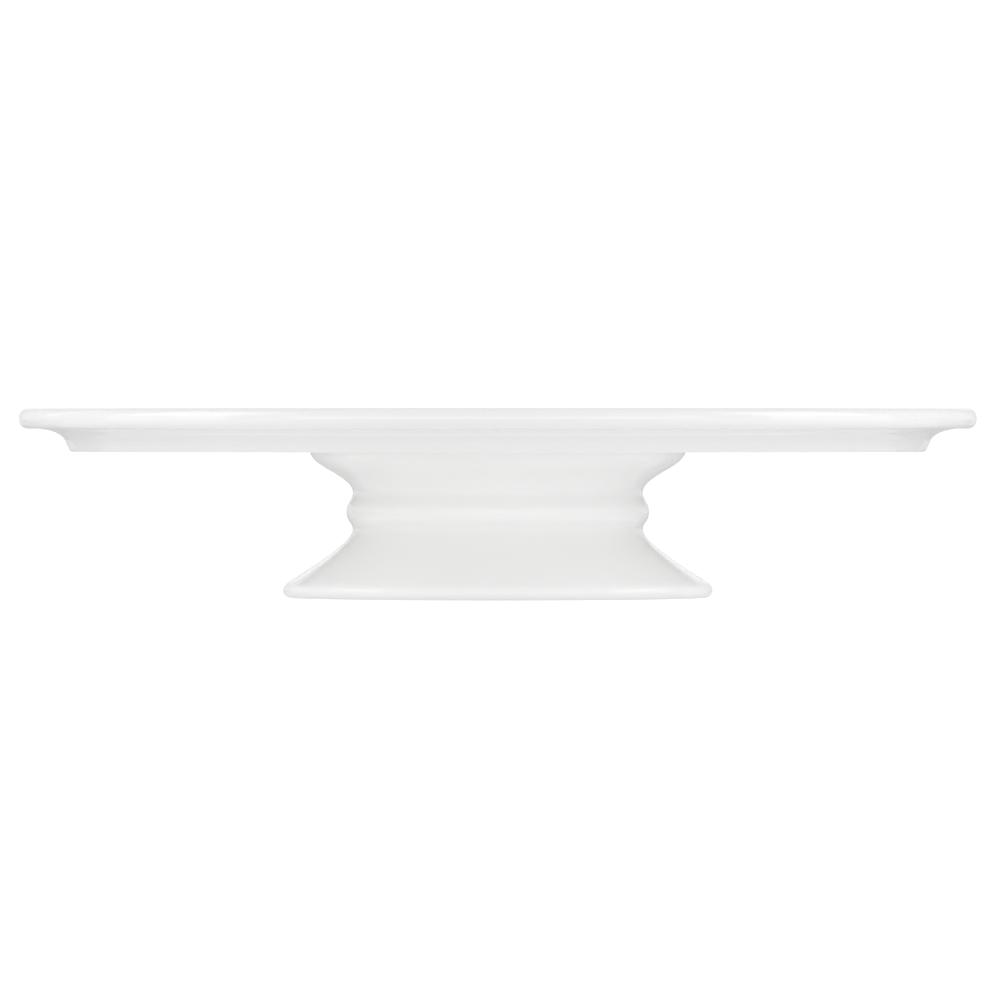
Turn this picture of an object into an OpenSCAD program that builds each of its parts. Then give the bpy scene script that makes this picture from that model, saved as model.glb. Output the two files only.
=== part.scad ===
// Footed cake stand: a porcelain cake plate clamped to a spool-shaped porcelain pedestal
// by a hidden stud and hand nut. Origin at the middle of the pedestal's base, +Z up.

/* [Stand] */
// Height from the table to the top of the plate's rim
stand_h = 63.2; // [62:0.1:68]

/* [Cake plate] */
// Diameter over the rim
plate_d = 320; // [316:1:330]
// Height of the thick rim edge
rim_h = 6.7; // [6.4:0.1:7.5]
// Radius that rounds the rim's upper and lower edge
rim_round = 3; // [2:0.1:3.2]
// Diameter of the shallow well in the top
well_d = 284; // [270:1:290]
// Depth of the well below the rim
well_depth = 1.2; // [0.8:0.1:2]
// Thickness of the plate under the well
plate_t = 5.4; // [5:0.1:6]
// Outer diameter of the foot ring's wall
ring_d = 288.6; // [284:0.2:289]
// Width of the foot ring's flat lower edge
ring_land = 2.8; // [2:0.1:4]
// Distance from the top of the rim to the foot ring's lower edge
ring_drop = 14.4; // [14:0.1:15]

/* [Pedestal] */
// Largest diameter of the base
base_d = 143.5; // [142:0.1:146]
// Radius of the nose above the base's widest place
nose_round = 3; // [2.5:0.1:3.5]
// Radius that rounds the base's lower edge
base_round = 2.4; // [2:0.1:2.6]
// Width of the flat ring that the base stands on
base_land = 3.2; // [2.5:0.1:4]
// Diameter of both necks
neck_d = 97; // [95:0.2:99]
// Height of the lower neck
low_neck_z = 23; // [22:0.1:24]
// Height of the upper neck
high_neck_z = 35.3; // [34.5:0.1:36]
// Largest diameter of the bead between the necks
bead_d = 101.2; // [99:0.2:103]
// Height of the bead's middle
bead_z = 28.8; // [28:0.1:29.5]
// Diameter of the flared top
top_d = 125.8; // [122:0.2:128]
// Height where the flare has become upright
shoulder_z = 49.6; // [49:0.1:50.5]
// Diameter of the straight bore through the necks
neck_bore_d = 87; // [84:0.5:88]
// Thickness of the deck that closes the pedestal's top
deck_t = 6; // [5:0.5:7]
// Diameter of the hole in the deck
deck_hole_d = 14; // [13.5:0.1:15]

/* [Seat] */
// Thickness of the silicone ring between pedestal and plate
gasket_t = 1.1; // [0.8:0.1:1.5]
// Width of the silicone ring
gasket_w = 6; // [4:0.5:6.5]
// Depth of the recess that clears the stud plate, below the pedestal's top edge
deck_recess = 3.5; // [3.3:0.1:4]

/* [Stud] */
// Diameter of the bonded stud plate
stud_plate_d = 50; // [40:1:54]
// Thickness of the stud plate
stud_plate_t = 2; // [1.5:0.1:2]
// Number of adhesive holes in the stud plate
key_holes = 8; // [6:1:10]
// Diameter of each adhesive hole
key_hole_d = 5; // [4:0.5:6]
// Thickness of the adhesive film
bond_t = 0.4; // [0.3:0.1:0.6]
// Thread diameter of the stud
stud_d = 8; // [8:8]
// Thread pitch of the stud
pitch = 1.25; // [1.25:1.25]
// Length of the stud below the stud plate
stud_len = 26; // [25:0.5:27]

/* [Hand nut] */
// Diameter of the grip
grip_d = 36; // [30:1:40]
// Height of the grip
grip_h = 10.4; // [9:0.1:11]
// Number of finger flutes round the grip
flutes = 8; // [6:1:10]
// Diameter of the brass insert
insert_d = 12; // [11:0.5:13]
// Turns of the nut between tight and almost off
nut_turns = 6; // [4:1:6]

/* [Washers] */
// Diameter of the rubber cushion and of the steel load washer
washer_d = 30; // [26:1:32]
// Thickness of the rubber cushion washer
cushion_t = 2; // [1.5:0.1:2.2]
// Thickness of the load washer
load_t = 1.5; // [1.2:0.1:1.6]
// Outer diameter of the split spring washer
spring_d = 14.8; // [14:0.1:15.4]
// Thickness of the split spring washer
spring_t = 2; // [1.6:0.1:2.2]

/* [Hidden] */
$fn = 96;
curve_steps = 14;    // points on each free curve
arc_steps = 8;       // points on each rounded edge
body_gap = 0.1;      // kept between faces of pieces that move apart
running = 0.05;      // radial clearance of the nut on the stud
eps = 0.01;

plate_r = plate_d / 2;
ring_r = ring_d / 2;
base_r = base_d / 2;
neck_r = neck_d / 2;
bead_r = bead_d / 2;
top_r = top_d / 2;
stud_r = stud_d / 2;

rim_under_z = stand_h - rim_h;                  // underside of the rim
ring_z = stand_h - ring_drop;                   // lower edge of the plate's foot ring
ring_draft = 25;                                // slant of the foot ring's walls, in degrees
heel_round = 1;                                 // rounds both edges of the ring's land
heel_r = ring_r - 2.1;                          // where the land's outer edge is rounded
under_z = stand_h - well_depth - plate_t;       // underside inside the foot ring
pedestal_top_z = under_z - gasket_t;
deck_z = pedestal_top_z - deck_recess;          // upper face of the deck
deck_under_z = deck_z - deck_t;
disc_top_z = under_z - bond_t;
disc_z = disc_top_z - stud_plate_t;             // lower face of the stud plate
key_circle_r = stud_plate_d * 0.36;             // circle that the adhesive holes lie on
bush_flange_t = 1.5;
bush_r = deck_hole_d / 2 - 0.2;
cushion_z = deck_under_z - cushion_t;
load_z = cushion_z - body_gap - load_t;
spring_z = load_z - spring_t;
nut_top_z = spring_z - body_gap;                // bearing face of the nut when tight
insert_flange_t = 1;
insert_h = grip_h;
nut_travel = nut_turns * pitch;

// Points of a cubic Bezier curve from a to d, without its last point
function curve(a, b, c, d, n = curve_steps) =
    [for (i = [0 : n - 1]) let (t = i / n, s = 1 - t)
        s * s * s * a + 3 * s * s * t * b + 3 * s * t * t * c + t * t * t * d];

// Points of a circular arc round the centre c, from angle a0 to angle a1
function arc(c, r, a0, a1, n = arc_steps) =
    [for (i = [0 : n]) let (a = a0 + (a1 - a0) * i / n) c + r * [cos(a), sin(a)]];

// Flat ring from radius r_in to r_out, standing on height z
module ring(r_in, r_out, z, h) {
    rotate_extrude() translate([r_in, z]) square([r_out - r_in, h]);
}

// Outline of the rim's edge, the cove under it and the foot ring, from the rim's top inwards
function plate_outside() = let (
        edge_r = plate_r - rim_round,
        wall = [ring_r, rim_under_z - 4.7])
    concat(
        arc([edge_r, stand_h - rim_round], rim_round, 90, 0),
        arc([edge_r, rim_under_z + rim_round], rim_round, 0, -90),
        curve([plate_r - 5.5, rim_under_z], [ring_r + 5.2, rim_under_z - 0.1],
              [ring_r + 0.6, rim_under_z - 1.9], wall),
        [wall],
        arc([heel_r, ring_z + heel_round], heel_round, -ring_draft, -90));

// Inside of the foot ring, up to the flat underside of the plate
function plate_inside() = let (
        inner_c = [heel_r - ring_land, ring_z + heel_round],
        last = inner_c + heel_round * [-cos(ring_draft), -sin(ring_draft)],
        up = [-sin(ring_draft), cos(ring_draft)])
    concat(
        arc(inner_c, heel_round, -90, ring_draft - 180),
        curve(last, last + 7 * up, [last[0] - 3.5, under_z], [last[0] - 8, under_z]),
        [[last[0] - 8, under_z], [0, under_z]]);

// Soft step from the well's floor up to the flat land of the rim
function well_step() = let (well_r = well_d / 2)
    curve([well_r - 4, stand_h - well_depth], [well_r, stand_h - well_depth],
          [well_r, stand_h], [well_r + 4, stand_h]);

module cake_plate() {
    color("whitesmoke") rotate_extrude($fn = 180)
        polygon(concat([[0, stand_h - well_depth]], well_step(), [[well_d / 2 + 4, stand_h]],
                       plate_outside(), plate_inside()));
}

// Adhesive film over the stud plate, with the plugs pressed down through its holes
module bond_layer() {
    plug_r = key_hole_d / 2 - 0.1;
    plug_h = stud_plate_t + 0.4;
    color("gainsboro") union() {
        translate([0, 0, disc_top_z]) cylinder(r = stud_plate_d / 2 + 2, h = bond_t);
        for (i = [0 : key_holes - 1])
            rotate([0, 0, i * 360 / key_holes])
                translate([key_circle_r, 0, disc_top_z - plug_h])
                    cylinder(r = plug_r, h = plug_h + eps);
    }
}

module stud_plate() {
    color("silver") difference() {
        ring(stud_r, stud_plate_d / 2, disc_z, stud_plate_t);
        for (i = [0 : key_holes - 1])
            rotate([0, 0, i * 360 / key_holes])
                translate([key_circle_r, 0, disc_z - 1])
                    cylinder(r = key_hole_d / 2, h = stud_plate_t + 2);
    }
}

// The stud with its weld bead under the stud plate and a chamfered lower end
module centre_stud() {
    weld = 0.6;
    chamfer = 0.8;
    end_z = disc_z - stud_len;
    color("silver") rotate_extrude() polygon([
        [0, disc_top_z], [stud_r, disc_top_z], [stud_r, disc_z], [stud_r + weld, disc_z],
        [stud_r, disc_z - weld], [stud_r, end_z + chamfer], [stud_r - chamfer, end_z],
        [0, end_z]]);
}

module seat_gasket() {
    mid_r = top_r - 5.2;
    color("white") ring(mid_r - gasket_w / 2, mid_r + gasket_w / 2, pedestal_top_z, gasket_t);
}

// Outside of the pedestal from the base's lower edge up to the top land
function pedestal_outside() = let (
        nose_c = [base_r - nose_round, base_round],
        nose_a = 57,
        nose_end = nose_c + nose_round * [cos(nose_a), sin(nose_a)],
        waist = [neck_r + 8.5, shoulder_z - 6.6])
    concat(
        arc([base_r - base_round, base_round], base_round, -90, 0),
        arc(nose_c, nose_round, 0, nose_a),
        curve(nose_end, [nose_end[0] - 13, nose_end[1] + 8.35],
              [neck_r, low_neck_z - 3.8], [neck_r, low_neck_z]),
        curve([neck_r, low_neck_z], [neck_r, low_neck_z + 1.7],
              [bead_r, bead_z - 3.2], [bead_r, bead_z]),
        curve([bead_r, bead_z], [bead_r, bead_z + 3],
              [neck_r, high_neck_z - 2.6], [neck_r, high_neck_z]),
        curve([neck_r, high_neck_z], [neck_r, high_neck_z + 3],
              [waist[0] - 3.5, waist[1] - 2.08], waist),
        curve(waist, [waist[0] + 3.2, waist[1] + 1.9],
              [top_r, shoulder_z - 2.8], [top_r, shoulder_z]),
        arc([top_r - 1.2, pedestal_top_z - 1.2], 1.2, 0, 90));

// Recess in the pedestal's top, the hole, and the hollow down to the base's inner edge
function pedestal_inside() = let (
        recess_r = top_r - 10,
        hole_r = deck_hole_d / 2,
        soft = 0.6,
        bore_r = neck_bore_d / 2,
        foot_slant = 36,
        foot_c = [base_r - base_round - base_land, 1.5],
        foot_end = foot_c - foot_c[1] * [sin(foot_slant), cos(foot_slant)])
    concat(
        arc([recess_r + 0.8, pedestal_top_z - 0.8], 0.8, 90, 180),
        arc([recess_r - 1, deck_z + 1], 1, 0, -90),
        arc([hole_r + soft, deck_z - soft], soft, 90, 180),
        arc([hole_r + soft, deck_under_z + soft], soft, 180, 270),
        curve([bore_r + 1, deck_under_z], [bore_r + 8, deck_under_z],
              [bore_r, deck_under_z - 5.5], [bore_r, deck_under_z - 9.5]),
        curve([bore_r, low_neck_z - 1], [bore_r, low_neck_z - 6.5],
              foot_end + 16 * [-cos(foot_slant), sin(foot_slant)], foot_end),
        arc(foot_c, foot_c[1], 180 + 90 - foot_slant, 270));

module pedestal() {
    color("whitesmoke") rotate_extrude($fn = 180)
        polygon(concat(pedestal_outside(), pedestal_inside()));
}

module deck_bush() {
    bore_r = stud_r + 0.2;
    flange_r = 11;
    barrel_h = deck_t + 0.6;
    color("ivory") union() {
        ring(bore_r, flange_r, deck_z, bush_flange_t);
        ring(bore_r, bush_r, deck_z - barrel_h, barrel_h + eps);
    }
}

module cushion_washer() {
    color("dimgray") ring(bush_r + 0.4, washer_d / 2, cushion_z, cushion_t);
}

module load_washer() {
    color("silver") ring(stud_r + 0.2, washer_d / 2, load_z, load_t);
}

// Split washer: its ends part along a slanted cut
module spring_washer() {
    slit = 1;
    slant = 25;
    color("gray") difference() {
        ring(stud_r + 0.1, spring_d / 2, spring_z, spring_t);
        translate([spring_d / 4 + stud_r / 2, 0, spring_z + spring_t / 2])
            rotate([slant, 0, 0])
                cube([spring_d / 2, slit, 3 * spring_t], center = true);
    }
}

module thread_insert() {
    flange_r = insert_d / 2 + 1.5;
    lead_in = 0.5;
    bore_r = stud_r + running;
    color("goldenrod") difference() {
        union() {
            translate([0, 0, nut_top_z - insert_h]) cylinder(d = insert_d, h = insert_h);
            translate([0, 0, nut_top_z - insert_flange_t])
                cylinder(r = flange_r, h = insert_flange_t);
        }
        translate([0, 0, nut_top_z - insert_h - 1]) cylinder(r = bore_r, h = insert_h + 2);
        translate([0, 0, nut_top_z - lead_in])
            cylinder(r1 = bore_r, r2 = bore_r + lead_in + eps, h = lead_in + eps);
    }
}

// Fluted grip moulded round the insert, with a dished lower face
module hand_grip() {
    grip_r = grip_d / 2;
    top_z = nut_top_z - 0.2;
    low_z = top_z - grip_h;
    flange_r = insert_d / 2 + 1.5;
    hub_r = insert_d / 2 + 3;
    dish = 2;
    soft = 1.5;
    flute_r = grip_r * 0.28;
    color("dimgray") difference() {
        rotate_extrude() polygon(concat(
            [[insert_d / 2, low_z], [hub_r, low_z], [hub_r + 1, low_z + dish],
             [grip_r - 4, low_z + dish], [grip_r - 3, low_z]],
            arc([grip_r - soft, low_z + soft], soft, -90, 0),
            arc([grip_r - soft, top_z - soft], soft, 0, 90),
            [[flange_r, top_z], [flange_r, nut_top_z - insert_flange_t],
             [insert_d / 2, nut_top_z - insert_flange_t]]));
        for (i = [0 : flutes - 1])
            rotate([0, 0, (i + 0.5) * 360 / flutes])
                translate([grip_r + flute_r * 0.55, 0, low_z - 1])
                    cylinder(r = flute_r, h = grip_h + 2);
    }
}

// The thread must still hold when the nut has backed off by all its turns
assert(disc_z - stud_len < nut_top_z - nut_travel - 3 * pitch);

cake_plate();
bond_layer();
stud_plate();
centre_stud();
seat_gasket();
pedestal();
deck_bush();
cushion_washer();
load_washer();
spring_washer();
thread_insert();
hand_grip();
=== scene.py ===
import math

import bmesh
import bpy
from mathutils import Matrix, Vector


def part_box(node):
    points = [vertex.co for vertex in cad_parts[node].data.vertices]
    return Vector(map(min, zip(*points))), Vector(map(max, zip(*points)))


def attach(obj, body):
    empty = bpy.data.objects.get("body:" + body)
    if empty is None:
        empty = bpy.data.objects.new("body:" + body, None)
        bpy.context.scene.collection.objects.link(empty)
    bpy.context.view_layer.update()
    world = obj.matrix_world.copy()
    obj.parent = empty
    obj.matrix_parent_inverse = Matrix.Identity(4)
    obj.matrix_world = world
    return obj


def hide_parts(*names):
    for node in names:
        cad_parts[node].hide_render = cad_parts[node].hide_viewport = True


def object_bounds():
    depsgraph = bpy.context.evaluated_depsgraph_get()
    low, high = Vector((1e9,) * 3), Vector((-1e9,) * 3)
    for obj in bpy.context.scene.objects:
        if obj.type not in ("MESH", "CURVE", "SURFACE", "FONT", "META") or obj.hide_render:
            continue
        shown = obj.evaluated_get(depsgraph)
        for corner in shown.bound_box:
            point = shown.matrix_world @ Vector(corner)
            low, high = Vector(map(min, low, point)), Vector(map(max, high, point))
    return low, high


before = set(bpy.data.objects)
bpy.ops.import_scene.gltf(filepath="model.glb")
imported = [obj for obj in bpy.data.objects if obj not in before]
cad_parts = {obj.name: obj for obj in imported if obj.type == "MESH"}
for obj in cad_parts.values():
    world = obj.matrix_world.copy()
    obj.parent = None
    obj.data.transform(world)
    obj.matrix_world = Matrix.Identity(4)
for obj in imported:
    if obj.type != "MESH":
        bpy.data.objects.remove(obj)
cad_low, cad_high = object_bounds()

MM = 0.001

# ------------------------------------------------------------------ sizes
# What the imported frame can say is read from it. The rest repeats part.scad.
STAND_H = cad_high.z
PLATE_R = max(cad_high.x, cad_high.y)
RIM_H = 6.7 * MM
RIM_ROUND = 3 * MM
RIM_UNDER = STAND_H - RIM_H
WELL_R = 142 * MM
WELL_DEPTH = 1.2 * MM
RING_R = 144.3 * MM
RING_LAND = 2.8 * MM
RING_WALL = 4.7 * MM                # height of the cove, from the rim's underside down to the ring
RING_DRAFT = math.radians(25)
RING_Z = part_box("cake_plate")[0].z
UNDER_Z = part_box("bond_layer")[1].z

pedestal_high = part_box("pedestal")[1]
BASE_R = pedestal_high.x
PEDESTAL_TOP = pedestal_high.z
NECK_R = 48.5 * MM
BEAD_R = 50.6 * MM
TOP_R = 62.9 * MM
NECK_BORE_R = 43.5 * MM
DECK_T = 6 * MM
BUSH_LOW, BUSH_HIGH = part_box("deck_bush")
BUSH_FLANGE_T = 1.5 * MM
DECK_Z = BUSH_HIGH.z - BUSH_FLANGE_T
DECK_HOLE_R = 7 * MM

STUD_R = 4 * MM
PITCH = 1.25 * MM
THREAD_DEPTH = 0.62 * MM
ROWS_PER_TURN = 14                  # mesh rows along one turn of a thread
STUD_LOW, STUD_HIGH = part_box("centre_stud")
DISC_LOW, DISC_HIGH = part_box("stud_plate")
SHANK_END = DISC_LOW.z - 4 * MM     # the stud is plain above this height

INSERT_LOW, INSERT_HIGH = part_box("thread_insert")
INSERT_R = 6 * MM
INSERT_BORE_R = STUD_R + 0.05 * MM
INSERT_FLANGE_Z = INSERT_HIGH.z - 1 * MM

GRIP_R = 18 * MM
FLUTES = 8
FLUTE_DEPTH = 2.3 * MM
HOLES = 8                           # holes in the stud plate
HOLE_CIRCLE_R = DISC_HIGH.x * 0.72  # circle that they lie on


# ------------------------------------------------------------------ outlines, as (r, z)
def curve(a, b, c, d, steps=24):
    """Points of a cubic Bezier curve from a to d, without its last point."""
    points = []
    for i in range(steps):
        t = i / steps
        s = 1 - t
        weights = (s * s * s, 3 * s * s * t, 3 * s * t * t, t * t * t)
        pairs = list(zip(weights, (a, b, c, d)))
        points.append(tuple(sum(w * p[k] for w, p in pairs) for k in (0, 1)))
    return points


def arc(centre, radius, start, end, steps=10):
    """Points of a circular arc, from the angle start to the angle end in degrees."""
    points = []
    for i in range(steps + 1):
        a = math.radians(start + (end - start) * i / steps)
        points.append((centre[0] + radius * math.cos(a), centre[1] + radius * math.sin(a)))
    return points


def rows(start, end, steps):
    """Evenly spaced points from start to end, without the last one."""
    return [tuple(start[k] + (end[k] - start[k]) * i / steps for k in (0, 1))
            for i in range(steps)]


def soft_ring(r_in, r_out, z_low, z_high, soft):
    """Closed outline of a flat ring with rounded edges."""
    return (
        arc((r_out - soft, z_low + soft), soft, -90, 0, 5)
        + arc((r_out - soft, z_high - soft), soft, 0, 90, 5)
        + arc((r_in + soft, z_high - soft), soft, 90, 180, 5)
        + arc((r_in + soft, z_low + soft), soft, 180, 270, 5)
    )


# ------------------------------------------------------------------ mesh makers
def mesh_object(name, bm, materials, sharp=35):
    """Turns a bmesh into a smooth-shaded object with its sharp edges marked."""
    bmesh.ops.recalc_face_normals(bm, faces=bm.faces)
    mesh = bpy.data.meshes.new(name)
    bm.to_mesh(mesh)
    bm.free()
    for material in materials:
        mesh.materials.append(material)
    mesh.shade_smooth()
    mesh.set_sharp_from_angle(angle=math.radians(sharp))
    piece = bpy.data.objects.new(name, mesh)
    bpy.context.scene.collection.objects.link(piece)
    return piece


def revolve(bm, outline, zones=None, segments=96, warp=None, closed=True):
    """Adds the surface that an (r, z) outline sweeps round the axis. A point with r of 0 closes it
    with a pole. zones gives each outline segment's material index, and warp(angle, r, z) may
    move a point to a new r and z."""
    rings = []
    for r, z in outline:
        if r == 0:
            rings.append([bm.verts.new((0, 0, z))])
            continue
        ring = []
        for i in range(segments):
            a = 2 * math.pi * i / segments
            wr, wz = warp(a, r, z) if warp else (r, z)
            ring.append(bm.verts.new((wr * math.cos(a), wr * math.sin(a), wz)))
        rings.append(ring)
    count = len(rings)
    for k in range(count if closed else count - 1):
        low, high = rings[k], rings[(k + 1) % count]
        if len(low) == 1 and len(high) == 1:
            continue
        for i in range(segments):
            j = (i + 1) % segments
            corners = [low[i % len(low)], low[j % len(low)],
                       high[j % len(high)], high[i % len(high)]]
            face = bm.faces.new(list(dict.fromkeys(corners)))
            if zones:
                face.material_index = zones[k]


def lathe(name, outline, materials, zones=None, segments=96, warp=None, sharp=35):
    """One object turned from a closed (r, z) outline."""
    bm = bmesh.new()
    revolve(bm, outline, zones, segments, warp)
    return mesh_object(name, bm, materials, sharp)


def joined(stretches):
    """One outline and its zones from a list of (zone, points). Where a stretch starts on the point
    that the last one ended on, the point is kept once."""
    outline, zones = [], []
    for zone, points in stretches:
        for point in points:
            if outline and math.dist(outline[-1], point) < 0.001 * MM:
                zones[-1] = zone
                continue
            outline.append(point)
            zones.append(zone)
    return outline, zones


# ------------------------------------------------------------------ materials
class Nodes:
    """A small helper that builds one procedural material."""

    def __init__(self, name):
        self.material = bpy.data.materials.new(name)
        self.material.use_nodes = True
        self.tree = self.material.node_tree
        self.shader = self.tree.nodes["Principled BSDF"]
        self.place = self.add("ShaderNodeTexCoord").outputs["Object"]

    def add(self, kind):
        return self.tree.nodes.new(kind)

    def link(self, out, into):
        self.tree.links.new(out, into)

    def noise(self, scale, detail, rough=0.5, finer=None):
        """A noise pattern in object space, with scale in 1/m. finer says how many times finer it
        is along X, Y and Z."""
        node = self.add("ShaderNodeTexNoise")
        node.inputs["Scale"].default_value = scale
        node.inputs["Detail"].default_value = detail
        node.inputs["Roughness"].default_value = rough
        source = self.place
        if finer:
            mapping = self.add("ShaderNodeMapping")
            mapping.inputs["Scale"].default_value = finer
            self.link(self.place, mapping.inputs["Vector"])
            source = mapping.outputs["Vector"]
        self.link(source, node.inputs["Vector"])
        return node.outputs["Fac"]

    def ramp(self, fac, stops):
        """A colour ramp with stops of (place, colour)."""
        node = self.add("ShaderNodeValToRGB")
        ramp = node.color_ramp
        while len(ramp.elements) < len(stops):
            ramp.elements.new(0.5)
        for element, (place, colour) in zip(ramp.elements, stops):
            element.position = place
            element.color = (*colour, 1)
        self.link(fac, node.inputs["Fac"])
        return node.outputs["Color"]

    def between(self, fac, low, high):
        """fac from 0..1 mapped to low..high."""
        node = self.add("ShaderNodeMapRange")
        node.inputs["To Min"].default_value = low
        node.inputs["To Max"].default_value = high
        self.link(fac, node.inputs["Value"])
        return node.outputs["Result"]

    def bump(self, height, distance, under=None):
        """A normal for relief that is distance metres high, on top of the normal under."""
        node = self.add("ShaderNodeBump")
        node.inputs["Distance"].default_value = distance
        self.link(height, node.inputs["Height"])
        if under:
            self.link(under, node.inputs["Normal"])
        return node.outputs["Normal"]

    def finish(self, colour, roughness, normal, fixed):
        """Links the three patterns, and sets what is the same all over: {socket: value}."""
        self.link(colour, self.shader.inputs["Base Color"])
        self.link(roughness, self.shader.inputs["Roughness"])
        self.link(normal, self.shader.inputs["Normal"])
        for socket, value in fixed.items():
            self.shader.inputs[socket].default_value = value
        return self.material


def glaze():
    """White porcelain under clear glaze: a faint drift of tone, and a mirror-like skin that is
    never quite flat, with long shallow waves and a fine ripple on them."""
    n = Nodes("glaze")
    tone = n.ramp(n.noise(9, 3), [(0.3, (0.885, 0.885, 0.88)), (0.7, (0.905, 0.905, 0.902))])
    rough = n.between(n.noise(60, 2), 0.05, 0.09)
    wave = n.bump(n.noise(22, 2, 0.4), 0.025 * MM)
    skin = n.bump(n.noise(420, 2, 0.4), 0.0006 * MM, under=wave)
    return n.finish(tone, rough, skin, {"IOR": 1.52})


def surface(name, tone, stops, grain, rough, finer=None, fixed=None):
    """A material with one noise each for its colour, its relief and its roughness.
    tone: (scale, detail) of the noise that moves the colour between stops, (place, colour).
    grain: (scale, detail, height in metres) of the relief, finer along Z on a turned surface.
    rough: (scale, detail, lowest roughness, highest roughness)."""
    n = Nodes(name)
    colour = n.ramp(n.noise(*tone), stops)
    relief = n.bump(n.noise(*grain[:2], finer=finer), grain[2])
    roughness = n.between(n.noise(*rough[:2]), *rough[2:])
    return n.finish(colour, roughness, relief, fixed or {})


METAL = {"Metallic": 1.0}

GLAZE = glaze()
# Unglazed, ground porcelain, where the pieces stood in the kiln.
BISCUIT = surface("biscuit", (1400, 4),
                  [(0.3, (0.76, 0.755, 0.735)), (0.75, (0.84, 0.835, 0.82))],
                  (5200, 3, 0.03 * MM), (700, 2, 0.65, 0.85))
ZINC = surface("zinc_plate", (420, 4),
               [(0.35, (0.56, 0.575, 0.60)), (0.7, (0.70, 0.715, 0.735))],
               (900, 3, 0.006 * MM), (600, 3, 0.24, 0.42), finer=(1, 1, 4), fixed=METAL)
SPRING = surface("spring_steel", (700, 4),
                 [(0.35, (0.13, 0.13, 0.135)), (0.7, (0.22, 0.22, 0.225))],
                 (2600, 3, 0.01 * MM), (500, 3, 0.38, 0.58), fixed=METAL)
BRASS = surface("turned_brass", (350, 4),
                [(0.35, (0.66, 0.48, 0.20)), (0.7, (0.78, 0.60, 0.29))],
                (1500, 3, 0.006 * MM), (700, 3, 0.22, 0.4), finer=(1, 1, 6), fixed=METAL)
SILICONE = surface("silicone", (150, 3),
                   [(0.3, (0.74, 0.745, 0.74)), (0.7, (0.82, 0.825, 0.82))],
                   (1300, 2, 0.01 * MM), (400, 2, 0.35, 0.5))
NYLON = surface("natural_nylon", (260, 3),
                [(0.3, (0.70, 0.67, 0.57)), (0.7, (0.78, 0.75, 0.66))],
                (1900, 3, 0.01 * MM), (500, 2, 0.38, 0.52))
RUBBER = surface("black_rubber", (300, 4),
                 [(0.3, (0.018, 0.018, 0.019)), (0.7, (0.04, 0.04, 0.041))],
                 (2400, 4, 0.04 * MM), (600, 3, 0.6, 0.8))
GRIP = surface("grip_plastic", (240, 4),
               [(0.3, (0.026, 0.027, 0.029)), (0.7, (0.05, 0.051, 0.054))],
               (3600, 2, 0.03 * MM), (800, 3, 0.42, 0.58))
ADHESIVE = surface("adhesive", (200, 4),
                   [(0.3, (0.60, 0.56, 0.42)), (0.7, (0.70, 0.66, 0.52))],
                   (700, 3, 0.03 * MM), (400, 2, 0.28, 0.45))


# ------------------------------------------------------------------ porcelain
PORCELAIN = [GLAZE, BISCUIT]
GLAZED, BARE = 0, 1     # zones: places in that list


def plate_outline():
    """The plate's outline and zones, from the middle of the well round to the middle below."""
    heel = 1 * MM
    heel_r = RING_R - 2.1 * MM
    edge_r = PLATE_R - RIM_ROUND
    draft = math.degrees(RING_DRAFT)
    wall = (RING_R, RIM_UNDER - RING_WALL)
    inner = (heel_r - RING_LAND, RING_Z + heel)
    last = (inner[0] - heel * math.cos(RING_DRAFT), inner[1] - heel * math.sin(RING_DRAFT))
    up = (last[0] - 7 * MM * math.sin(RING_DRAFT), last[1] + 7 * MM * math.cos(RING_DRAFT))
    cove_end = (last[0] - 8 * MM, UNDER_Z)
    bare_r = 30 * MM            # the middle below is bare, for the adhesive
    well_z = STAND_H - WELL_DEPTH
    half_step = 4 * MM
    step_in, step_out = WELL_R - half_step, WELL_R + half_step
    return joined([
        (GLAZED, [(0, well_z)]),
        (GLAZED, rows((10 * MM, well_z), (step_in, well_z), 20)),
        (GLAZED, curve((step_in, well_z), (WELL_R, well_z),
                       (WELL_R, STAND_H), (step_out, STAND_H))),
        (GLAZED, rows((step_out, STAND_H), (edge_r, STAND_H), 4)),
        (GLAZED, arc((edge_r, STAND_H - RIM_ROUND), RIM_ROUND, 90, 0, 16)),
        (GLAZED, arc((edge_r, RIM_UNDER + RIM_ROUND), RIM_ROUND, 0, -90, 16)),
        (GLAZED, curve((PLATE_R - 5.5 * MM, RIM_UNDER), (RING_R + 5.2 * MM, RIM_UNDER - 0.1 * MM),
                       (RING_R + 0.6 * MM, RIM_UNDER - 1.9 * MM), wall)),
        (GLAZED, [wall]),
        (GLAZED, arc((heel_r, RING_Z + heel), heel, -draft, -80, 8)),
        (BARE, [(heel_r, RING_Z), (inner[0], RING_Z)]),
        (GLAZED, arc(inner, heel, -100, draft - 180, 8)),
        (GLAZED, curve(last, up, (last[0] - 3.5 * MM, UNDER_Z), cove_end)),
        (GLAZED, rows(cove_end, (bare_r, UNDER_Z), 16)),
        (BARE, rows((bare_r, UNDER_Z), (6 * MM, UNDER_Z), 3)),
        (BARE, [(0, UNDER_Z)]),
    ])


def plate_warp(angle, r, z):
    """The slight run-out that a fired plate keeps."""
    share = r / PLATE_R
    return r - 0.05 * MM * share * (1 + math.cos(2 * angle + 0.7)), z


outline, zones = plate_outline()
plate = lathe("cake_plate_glazed", outline, PORCELAIN, zones, 360, plate_warp, 40)
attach(plate, "stand")
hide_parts("cake_plate")


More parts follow.
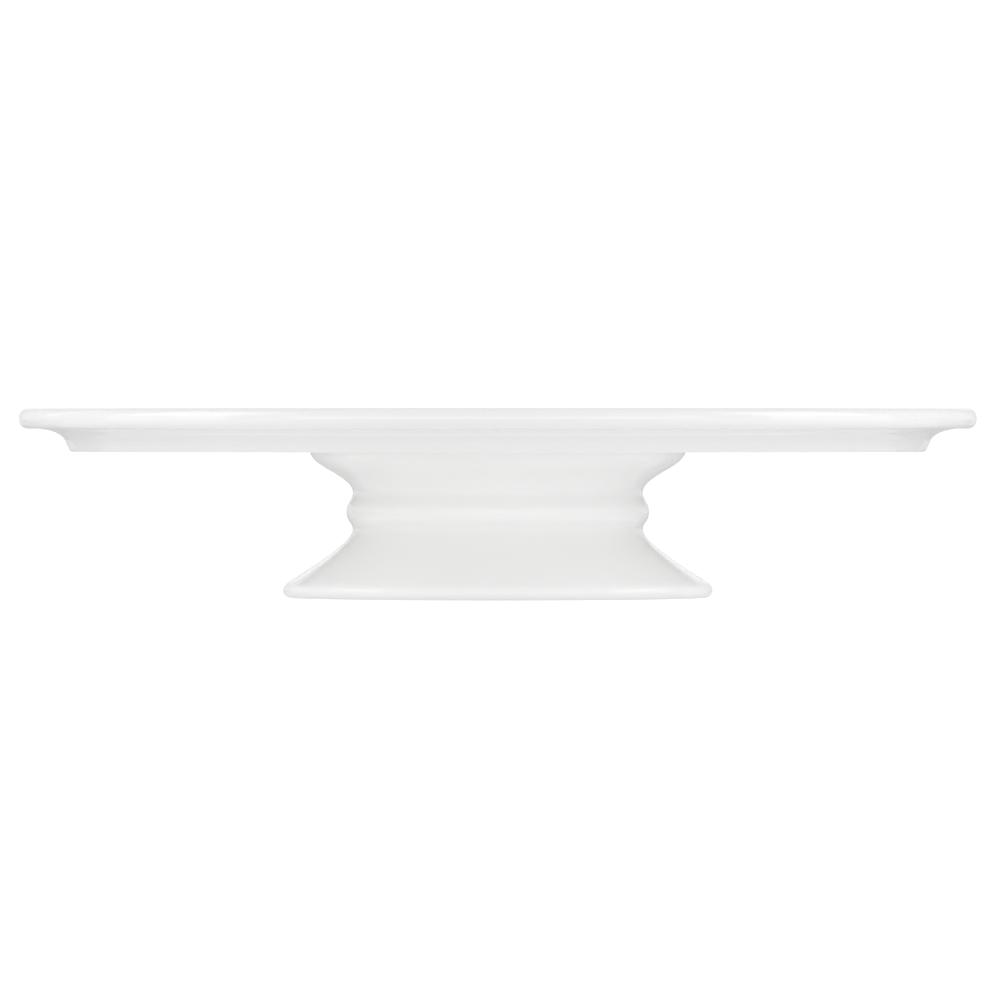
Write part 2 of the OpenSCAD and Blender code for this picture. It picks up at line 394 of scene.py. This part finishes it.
def pedestal_outline():
    """The pedestal's outline and zones, up its outside, over the deck and down its bore."""
    base_round, base_land = 2.4 * MM, 3.2 * MM
    low_neck, high_neck, bead_z, shoulder = 23 * MM, 35.3 * MM, 28.8 * MM, 49.6 * MM

    # The nose is an arc up to leave_angle, and then melts into the flare at the point called meet.
    # The flare itself would start at flare_angle on that arc.
    nose_round, leave_angle, flare_angle, melt_rows = 3 * MM, 30, 57, 4
    nose = (BASE_R - nose_round, base_round)
    flare_start = arc(nose, nose_round, flare_angle, flare_angle, 1)[0]
    flare = curve(flare_start, (flare_start[0] - 13 * MM, flare_start[1] + 8.35 * MM),
                  (NECK_R, low_neck - 3.8 * MM), (NECK_R, low_neck), 32)
    leave = arc(nose, nose_round, leave_angle, leave_angle, 1)[0]
    leave_handle = (leave[0] - 0.6 * MM, leave[1] + 1.04 * MM)
    meet = flare[melt_rows]
    along = Vector(flare[melt_rows + 1]) - Vector(flare[melt_rows - 1])
    meet_handle = Vector(meet) - along.normalized() * 2.6 * MM

    waist = (NECK_R + 8.5 * MM, shoulder - 6.6 * MM)
    foot_slant, foot_round = 36, 1.5 * MM
    foot = (BASE_R - base_round - base_land, foot_round)
    slant = math.radians(foot_slant)
    foot_end = (foot[0] - foot_round * math.sin(slant), foot_round * (1 - math.cos(slant)))
    foot_reach = 16 * MM
    foot_handle = (foot_end[0] - foot_reach * math.cos(slant),
                   foot_end[1] + foot_reach * math.sin(slant))

    top_round, top_inner_round, recess_round, hole_round = 1.2 * MM, 0.8 * MM, 1 * MM, 0.6 * MM
    recess_r = TOP_R - 10 * MM
    deck_under = DECK_Z - DECK_T
    near_hole = DECK_HOLE_R + 2 * MM
    bore = NECK_BORE_R
    bore_top = deck_under - 9.5 * MM
    bore_low = low_neck - 1 * MM
    return joined([
        (GLAZED, arc((BASE_R - base_round, base_round), base_round, -80, 0, 12)),
        (GLAZED, arc(nose, nose_round, 0, leave_angle, 8)),
        (GLAZED, curve(leave, leave_handle, meet_handle, meet, 16)),
        (GLAZED, flare[melt_rows:]),
        (GLAZED, curve((NECK_R, low_neck), (NECK_R, low_neck + 1.7 * MM),
                       (BEAD_R, bead_z - 3.2 * MM), (BEAD_R, bead_z))),
        (GLAZED, curve((BEAD_R, bead_z), (BEAD_R, bead_z + 3 * MM),
                       (NECK_R, high_neck - 2.6 * MM), (NECK_R, high_neck))),
        (GLAZED, curve((NECK_R, high_neck), (NECK_R, high_neck + 3 * MM),
                       (waist[0] - 3.5 * MM, waist[1] - 2.08 * MM), waist)),
        (GLAZED, curve(waist, (waist[0] + 3.2 * MM, waist[1] + 1.9 * MM),
                       (TOP_R, shoulder - 2.8 * MM), (TOP_R, shoulder))),
        (GLAZED, arc((TOP_R - top_round, PEDESTAL_TOP - top_round), top_round, 0, 90, 8)),
        (BARE, arc((recess_r + top_inner_round, PEDESTAL_TOP - top_inner_round),
                   top_inner_round, 90, 180, 6)),
        (GLAZED, arc((recess_r - recess_round, DECK_Z + recess_round), recess_round, 0, -90, 6)),
        (GLAZED, rows((recess_r - 2 * MM, DECK_Z), (near_hole, DECK_Z), 8)),
        (GLAZED, arc((DECK_HOLE_R + hole_round, DECK_Z - hole_round), hole_round, 90, 180, 5)),
        (GLAZED, arc((DECK_HOLE_R + hole_round, deck_under + hole_round), hole_round, 180, 270, 5)),
        (GLAZED, rows((near_hole, deck_under), (bore + 1 * MM, deck_under), 8)),
        (GLAZED, curve((bore + 1 * MM, deck_under), (bore + 8 * MM, deck_under),
                       (bore, deck_under - 5.5 * MM), (bore, bore_top))),
        (GLAZED, rows((bore, bore_top), (bore, bore_low), 6)),
        (GLAZED, curve((bore, bore_low), (bore, low_neck - 6.5 * MM), foot_handle, foot_end, 32)),
        (GLAZED, arc(foot, foot_round, 270 - foot_slant, 264, 6)),
        (BARE, [(foot[0], 0), (BASE_R - base_round, 0)]),
    ])


def pedestal_warp(angle, r, z):
    """The pedestal's own slight run-out."""
    return r - 0.03 * MM * (1 + math.cos(2 * angle + 2.1)), z


outline, zones = pedestal_outline()
pedestal = lathe("pedestal_glazed", outline, PORCELAIN, zones, 288, pedestal_warp, 40)
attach(pedestal, "stand")
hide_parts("pedestal")


# ------------------------------------------------------------------ rings and washers
def inner_radius(node):
    """Radius of the hole through a CAD ring: its vertex nearest to the axis."""
    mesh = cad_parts[node].data
    return min(math.hypot(v.co.x, v.co.y) for v in mesh.vertices)


def ring_piece(node, body, material, soft):
    """A detailed ring in the place of a CAD ring, with its edges rounded by the radius soft."""
    low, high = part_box(node)
    outline = soft_ring(inner_radius(node), high.x, low.z, high.z, soft)
    piece = lathe(node + "_soft", outline, [material], segments=128)
    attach(piece, body)
    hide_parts(node)


ring_piece("seat_gasket", "stand", SILICONE, 0.35 * MM)
ring_piece("cushion_washer", "stand", RUBBER, 0.2 * MM)
ring_piece("load_washer", "washers", ZINC, 0.25 * MM)


def bush_outline():
    """A barrel in the deck's hole, with a flange that lies on the deck."""
    r_in, barrel_r, flange_r = inner_radius("deck_bush"), 6.8 * MM, BUSH_HIGH.x
    soft = 0.25 * MM
    return (
        arc((barrel_r - soft, BUSH_LOW.z + soft), soft, -90, 0, 4)
        + [(barrel_r, DECK_Z)]
        + arc((flange_r - soft, DECK_Z + soft), soft, -90, 0, 4)
        + arc((flange_r - soft, BUSH_HIGH.z - soft), soft, 0, 90, 4)
        + arc((r_in + soft, BUSH_HIGH.z - soft), soft, 90, 180, 4)
        + arc((r_in + soft, BUSH_LOW.z + soft), soft, 180, 270, 4)
    )


bush = lathe("deck_bush_soft", bush_outline(), [NYLON])
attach(bush, "stand")
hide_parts("deck_bush")


def make_spring_washer():
    """A split ring whose two ends stand a little apart in height, with a slanted slit."""
    low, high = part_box("spring_washer")
    rise = 0.12 * MM
    half_slit = math.radians(5)
    slant = 0.35 * MM
    section = soft_ring(inner_radius("spring_washer"), high.x, low.z, high.z - rise, 0.2 * MM)
    steps = 120
    bm = bmesh.new()
    loops = []
    for i in range(steps + 1):
        t = i / steps
        a = half_slit + (2 * math.pi - 2 * half_slit) * t
        lean = slant * (1 if i == 0 else -1 if i == steps else 0)
        loop = []
        for r, z in section:
            b = a + lean * ((z - low.z) / (high.z - low.z) - 0.5) / r
            loop.append(bm.verts.new((r * math.cos(b), r * math.sin(b), z + rise * t)))
        loops.append(loop)
    for before, after in zip(loops, loops[1:]):
        for k in range(len(section)):
            j = (k + 1) % len(section)
            bm.faces.new((before[k], before[j], after[j], after[k]))
    bm.faces.new(loops[0])
    bm.faces.new(list(reversed(loops[-1])))
    return mesh_object("spring_washer_split", bm, [SPRING])


spring = make_spring_washer()
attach(spring, "washers")
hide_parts("spring_washer")


# ------------------------------------------------------------------ stud, nut and bond
def thread_cut(angle, z):
    """How deep a right-hand thread is at this place, from 0 on the crest to 1 in the root."""
    t = (z / PITCH - angle / (2 * math.pi)) % 1.0
    flank, flat = 0.36, 0.14
    if t < flat / 2 or t > 1 - flat / 2:
        return 0.0
    if t < flat / 2 + flank:
        return (t - flat / 2) / flank
    if t > 1 - flat / 2 - flank:
        return (1 - flat / 2 - t) / flank
    return 1.0


def stud_outline():
    """The stud from its lower end up through its weld into the stud plate."""
    weld = 0.6 * MM
    start = STUD_LOW.z + 0.02 * MM
    thread_rows = int((SHANK_END - start) / (PITCH / ROWS_PER_TURN))
    return (
        [(0, STUD_LOW.z), (STUD_R - 1.0 * MM, STUD_LOW.z)]
        + rows((STUD_R, start), (STUD_R, SHANK_END), thread_rows)
        + [(STUD_R, SHANK_END)]
        + arc((STUD_R + weld, DISC_LOW.z - weld), weld, 180, 90, 5)
        + [(STUD_R, DISC_LOW.z), (STUD_R, STUD_HIGH.z), (0, STUD_HIGH.z)]
    )


def stud_warp(angle, r, z):
    """Cuts the thread, which runs out at the shank, and the chamfer at the lower end."""
    if r < STUD_R - 0.01 * MM or z > SHANK_END:
        return r, z
    run_out = min(1.0, (SHANK_END - z) / PITCH)
    chamfer = max(0.0, 0.9 * MM - (z - STUD_LOW.z))
    return min(r - THREAD_DEPTH * thread_cut(angle, z) * run_out, STUD_R - chamfer), z


stud = lathe("centre_stud_threaded", stud_outline(), [ZINC], segments=72, warp=stud_warp, sharp=60)
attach(stud, "stand")
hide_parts("centre_stud")


def insert_outline():
    """A bushing with a flange at its upper end, and enough rows in its bore for the thread."""
    flange_r, soft = INSERT_HIGH.x, 0.2 * MM
    thread_rows = int((INSERT_HIGH.z - INSERT_LOW.z) / (PITCH / ROWS_PER_TURN))
    return (
        [(INSERT_BORE_R, INSERT_LOW.z)]
        + arc((INSERT_R - soft, INSERT_LOW.z + soft), soft, -90, 0, 4)
        + [(INSERT_R, INSERT_FLANGE_Z)]
        + arc((flange_r - soft, INSERT_FLANGE_Z + soft), soft, -90, 0, 4)
        + arc((flange_r - soft, INSERT_HIGH.z - soft), soft, 0, 90, 4)
        + rows((INSERT_BORE_R, INSERT_HIGH.z), (INSERT_BORE_R, INSERT_LOW.z), thread_rows)
    )


def insert_warp(angle, r, z):
    """Ridges that stand in the stud's grooves, with a lead-in at both ends."""
    if r > INSERT_BORE_R + 0.01 * MM:
        return r, z
    lead = max(0.0, 0.8 * MM - min(z - INSERT_LOW.z, INSERT_HIGH.z - z))
    ridge = THREAD_DEPTH * thread_cut(angle, z)
    return max(INSERT_BORE_R - ridge, INSERT_BORE_R - THREAD_DEPTH + lead), z


insert = lathe("thread_insert_tapped", insert_outline(), [BRASS], segments=72, warp=insert_warp,
               sharp=60)
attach(insert, "hand_nut")
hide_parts("thread_insert")


def grip_outline():
    """The grip round the insert, with a dished face below between its hub and its rim."""
    low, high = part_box("hand_grip")
    flange_r, hub_r = 7.5 * MM, 9 * MM
    soft, hub_soft, dish_soft, lip_soft = 1.8 * MM, 0.5 * MM, 0.9 * MM, 0.7 * MM
    corner_z = low.z + 1.8 * MM
    dish_z = low.z + 2.7 * MM
    return (
        [(INSERT_R, low.z + 0.2 * MM)]
        + arc((hub_r - hub_soft, low.z + hub_soft), hub_soft, -90, 0, 5)
        + arc((hub_r + 1.4 * MM, corner_z), dish_soft, 180, 90, 5)
        + rows((hub_r + 2.4 * MM, dish_z), (GRIP_R - 5.6 * MM, dish_z), 3)
        + arc((GRIP_R - 4.6 * MM, corner_z), dish_soft, 90, 0, 5)
        + arc((GRIP_R - 3 * MM, low.z + lip_soft), lip_soft, 180, 270, 5)
        + arc((GRIP_R - soft, low.z + soft), soft, -90, 0, 8)
        + rows((GRIP_R, low.z + soft + 0.6 * MM), (GRIP_R, high.z - soft), 5)
        + arc((GRIP_R - soft, high.z - soft), soft, 0, 90, 8)
        + [(flange_r, high.z), (flange_r, INSERT_FLANGE_Z), (INSERT_R, INSERT_FLANGE_Z)]
    )


def grip_warp(angle, r, z):
    """Round finger flutes, deepest at the rim and gone inside the radius calm_r."""
    calm_r, narrow = 11 * MM, 1.6
    phase = (angle / (2 * math.pi) * FLUTES + 0.5) % 1.0 - 0.5
    depth = FLUTE_DEPTH * (0.5 + 0.5 * math.cos(2 * math.pi * (phase + 0.5))) ** narrow
    share = min(1.0, max(0.0, (r - calm_r) / (GRIP_R - calm_r)))
    return r - depth * share, z


grip = lathe("hand_grip_fluted", grip_outline(), [GRIP], segments=256, warp=grip_warp, sharp=50)
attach(grip, "hand_nut")
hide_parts("hand_grip")


def make_bond():
    """The adhesive film with its squeezed-out edge and the domed plugs in the holes."""
    low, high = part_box("bond_layer")
    film_r, edge, plug_r = high.x, 0.2 * MM, 2.4 * MM
    plug_top = DISC_HIGH.z + 0.05 * MM
    dome_h = DISC_LOW.z + 0.15 * MM - low.z
    dome = []
    for k in range(7):
        t = math.radians(15 * k)
        dome.append((plug_r * math.sin(t), low.z + dome_h * (1 - math.cos(t))))
    plug = dome + [(plug_r, plug_top), (0, plug_top)]
    bm = bmesh.new()
    film = (
        [(0, DISC_HIGH.z)]
        + rows((4.2 * MM, DISC_HIGH.z), (film_r - 0.6 * MM, DISC_HIGH.z), 8)
        + arc((film_r - edge, high.z - edge), edge, -90, 90, 8)
        + [(0, high.z)]
    )
    revolve(bm, film, closed=False)
    for i in range(HOLES):
        part = bmesh.new()
        revolve(part, plug, segments=32, closed=False)
        a = 2 * math.pi * i / HOLES
        bmesh.ops.translate(part, verts=part.verts,
                            vec=(HOLE_CIRCLE_R * math.cos(a), HOLE_CIRCLE_R * math.sin(a), 0))
        spare = bpy.data.meshes.new("plug")
        part.to_mesh(spare)
        part.free()
        bm.from_mesh(spare)
        bpy.data.meshes.remove(spare)
    return mesh_object("bond_layer_squeezed", bm, [ADHESIVE])


bond = make_bond()
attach(bond, "stand")
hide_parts("bond_layer")

stud_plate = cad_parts["stud_plate"]
stud_plate.material_slots[0].link = "OBJECT"
stud_plate.material_slots[0].material = ZINC


# ------------------------------------------------------------------ stage, light and camera
def sheet(name, corners, material):
    """A flat card or floor with these corners."""
    bm = bmesh.new()
    bm.faces.new([bm.verts.new(p) for p in corners])
    mesh = bpy.data.meshes.new(name)
    bm.to_mesh(mesh)
    bm.free()
    mesh.materials.append(material)
    thing = bpy.data.objects.new(name, mesh)
    bpy.context.scene.collection.objects.link(thing)
    return thing


def paper(name, tone, glow):
    """Matt paper of one tone, with some light of its own."""
    material = bpy.data.materials.new(name)
    material.use_nodes = True
    shader = material.node_tree.nodes["Principled BSDF"]
    shader.inputs["Base Color"].default_value = (tone, tone, tone, 1)
    shader.inputs["Roughness"].default_value = 1.0
    shader.inputs["Specular IOR Level"].default_value = 0.0
    shader.inputs["Emission Color"].default_value = (1, 1, 1, 1)
    shader.inputs["Emission Strength"].default_value = glow
    return material


def card(name, corners, glow):
    """A studio card that lights or shades the object, and that the camera doesn't see."""
    thing = sheet(name, corners, paper(name, 0.2, glow))
    thing.visible_camera = False
    return thing


def upright(name, start, end, low, high, glow):
    """A card that stands over the line from start to end, between the heights low and high."""
    return card(name, [(*start, low), (*end, low), (*end, high), (*start, high)], glow)


def table(name, front, back, glow):
    """A table just under the floor, as wide as the floor, from y front to y back."""
    card(name, [(-FAR, front, TABLE_Z), (FAR, front, TABLE_Z),
                (FAR, back, TABLE_Z), (-FAR, back, TABLE_Z)], glow)


def disc(name, radius, height, glow, back):
    """A round card under the object, cut off straight where y is more than back."""
    rim = arc((0, 0), radius, 0, 360, 48)[:-1]
    card(name, [(x, min(y, back), height) for x, y in rim], glow)


# The pale floor is only looked at. The object is lit from below by a table just under it, which is
# dull behind the object, brighter under the plate, and dull again close round the foot.
FAR = 40.0
TABLE_Z = -0.5 * MM
TABLE_TURN = 0.06
floor = sheet("floor", [(-FAR, -FAR, 0), (FAR, -FAR, 0), (FAR, FAR, 0), (-FAR, FAR, 0)],
              paper("pale_floor", 0.4, 0.79))
for kind in ("diffuse", "glossy", "transmission", "shadow"):
    setattr(floor, "visible_" + kind, False)
table("front_table", -FAR, TABLE_TURN, 0.66)
table("back_table", TABLE_TURN, 6.0, 0.45)
mat_r = BASE_R + 12 * MM
disc("panel_under_plate", 0.8 * PLATE_R, TABLE_Z / 2, 1.02, 0.01)
disc("mat_under_foot", mat_r, TABLE_Z / 4, 0.63, mat_r)

# Dull flags stand behind the object, just outside the camera's view, and draw its outline.
for side in (-1, 1):
    upright("flag", (side * 0.241, 0.255), (side * 0.27, 1.0), TABLE_Z, 0.14, 0.6)

# A lit backdrop shows between the flags.
upright("backdrop", (-0.33, 1.5), (0.33, 1.5), 0.2, 0.6, 0.88)

# A card on each side lights the ends of the rim. The plate's top would mirror it in a low view from
# the side, so a dull band stands just in front of it.
for side in (-1, 1):
    upright("side_card", (side * 2, -0.9), (side * 2, 0.5), 0, 0.9, 1.7)
    upright("side_band", (side * 1.9, -0.35), (side * 1.9, 0.35), 0.09, 0.45, 0.68)

# A long, low card far in front lights the pedestal under the plate.
upright("low_front_card", (-6, -5), (6, -5), 0, 0.7, 2.35)


def strip_light(name, azimuth, glow, edge):
    """A tall card 3 m away that gives the plate a sheen: glow at its middle, edge at its sides."""
    a = math.radians(azimuth)
    middle = Vector((3 * math.sin(a), -3 * math.cos(a), 0))
    across = Vector((math.cos(a), math.sin(a), 0))
    half = 0.16
    left, right = middle - half * across, middle + half * across
    thing = upright(name, left.xy, right.xy, 0.25, 2.3, glow)
    tree = thing.data.materials[0].node_tree
    place = tree.nodes.new("ShaderNodeTexCoord").outputs["Object"]
    along = tree.nodes.new("ShaderNodeVectorMath")
    along.operation = "DOT_PRODUCT"
    along.inputs[1].default_value = across
    size = tree.nodes.new("ShaderNodeMath")
    size.operation = "ABSOLUTE"
    fade = tree.nodes.new("ShaderNodeMapRange")
    fade.interpolation_type = "SMOOTHSTEP"
    fade.inputs["From Max"].default_value = half
    fade.inputs["To Min"].default_value = glow
    fade.inputs["To Max"].default_value = edge
    tree.links.new(place, along.inputs[0])
    tree.links.new(along.outputs["Value"], size.inputs[0])
    tree.links.new(size.outputs[0], fade.inputs["Value"])
    shader = tree.nodes["Principled BSDF"]
    tree.links.new(fade.outputs["Result"], shader.inputs["Emission Strength"])


strip_light("back_strip", 225, 1.35, 0.8)
strip_light("front_strip", 45, 1.15, 0.8)

# The studio is white to look at. As a light it is a little duller, and duller still overhead.
SEEN_GLOW, LOW_GLOW, OVERHEAD_GLOW = 1.05, 0.8, 0.52
world = bpy.data.worlds.new("studio")
bpy.context.scene.world = world
world.use_nodes = True
world_nodes, world_links = world.node_tree.nodes, world.node_tree.links
background = world_nodes["Background"]
background.inputs["Color"].default_value = (1, 1, 1, 1)
direction = world_nodes.new("ShaderNodeSeparateXYZ")
place = world_nodes.new("ShaderNodeTexCoord").outputs["Generated"]
sky = world_nodes.new("ShaderNodeMapRange")
sky.inputs["From Min"].default_value = 0.45
sky.inputs["To Min"].default_value = LOW_GLOW
sky.inputs["To Max"].default_value = OVERHEAD_GLOW
strength = world_nodes.new("ShaderNodeMapRange")
strength.inputs["To Max"].default_value = SEEN_GLOW
looked_at = world_nodes.new("ShaderNodeLightPath").outputs["Is Camera Ray"]
world_links.new(place, direction.inputs["Vector"])
world_links.new(direction.outputs["Z"], sky.inputs["Value"])
world_links.new(sky.outputs["Result"], strength.inputs["To Min"])
world_links.new(looked_at, strength.inputs["Value"])
world_links.new(strength.outputs["Result"], background.inputs["Strength"])


def facing(place, aim):
    """The rotation of a lamp or camera at place that looks at aim."""
    return (aim - place).to_track_quat("-Z", "Y").to_euler()


def softbox(name, place, size, power):
    """A square lamp that lights the middle of the stand."""
    light = bpy.data.lights.new(name, "AREA")
    light.shape = "RECTANGLE"
    light.size, light.size_y = size, size
    light.energy = power
    lamp = bpy.data.objects.new(name, light)
    lamp.location = place
    lamp.rotation_euler = facing(Vector(place), Vector((0, 0, 0.04)))
    lamp.visible_camera = False
    bpy.context.scene.collection.objects.link(lamp)


softbox("left_softbox", (-1.3, -0.2, 0.9), 0.9, 4.0)
softbox("right_softbox", (1.3, -0.2, 0.9), 0.9, 4.0)

# The camera stands level with the rim and far off, and takes in a little more than the plate.
# These numbers were fitted to where the outline lies in the photograph.
distance = 4.1
frame_width = 1.0442 * 2 * PLATE_R
to_the_right = 0.73 * MM
eye = Vector((to_the_right, -distance, 0.934 * STAND_H))
target = Vector((to_the_right, 0, 0.516 * STAND_H))
camera_data = bpy.data.cameras.new("camera")
camera_data.sensor_width = 36
camera_data.lens = camera_data.sensor_width * distance / frame_width
camera_data.clip_start = 0.1
camera_data.clip_end = 100
camera = bpy.data.objects.new("camera", camera_data)
camera.location = eye
camera.rotation_euler = facing(eye, target)
bpy.context.scene.collection.objects.link(camera)
bpy.context.scene.camera = camera
bpy.context.scene.view_settings.view_transform = "Standard"
